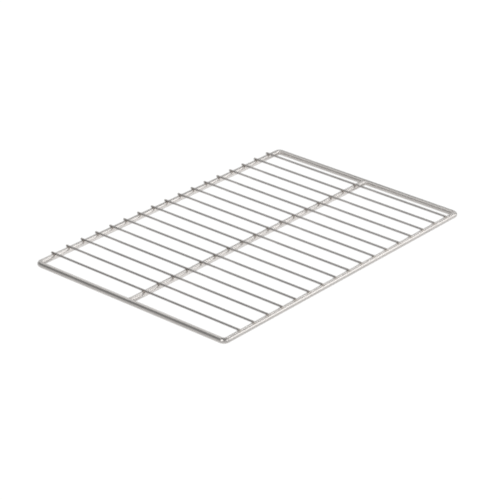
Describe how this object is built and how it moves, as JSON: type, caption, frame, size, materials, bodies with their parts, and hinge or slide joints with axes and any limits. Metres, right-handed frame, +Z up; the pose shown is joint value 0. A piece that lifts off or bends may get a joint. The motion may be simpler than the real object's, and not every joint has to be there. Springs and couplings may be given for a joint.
{
  "type": "oven shelf rack",
  "caption": "Flat wire oven shelf: a round rod bent to a rectangular frame, a centre support rod and evenly spaced thin cross wires welded on top to carry trays and dishes.",
  "frame": {"origin": "under the middle of the rack, on the surface that it lies on", "axes": "+X along the long sides towards the end with the narrower last gap, +Y along the cross wires, +Z up"},
  "size_m": [0.53, 0.325, 0.0104],
  "materials": {
    "rod": "electropolished",
    "wire": "drawn and electropolished"
  },
  "bodies": {
    "root": {"outer_frame": "rod", "centre_support": "rod", "cross_wire_01": "wire", "cross_wire_02": "wire", "cross_wire_03": "wire", "cross_wire_04": "wire", "cross_wire_05": "wire", "cross_wire_06": "wire", "cross_wire_07": "wire", "cross_wire_08": "wire", "cross_wire_09": "wire", "cross_wire_10": "wire", "cross_wire_11": "wire", "cross_wire_12": "wire", "cross_wire_13": "wire", "cross_wire_14": "wire", "cross_wire_15": "wire", "cross_wire_16": "wire", "cross_wire_17": "wire"}
  },
  "joints": []
}
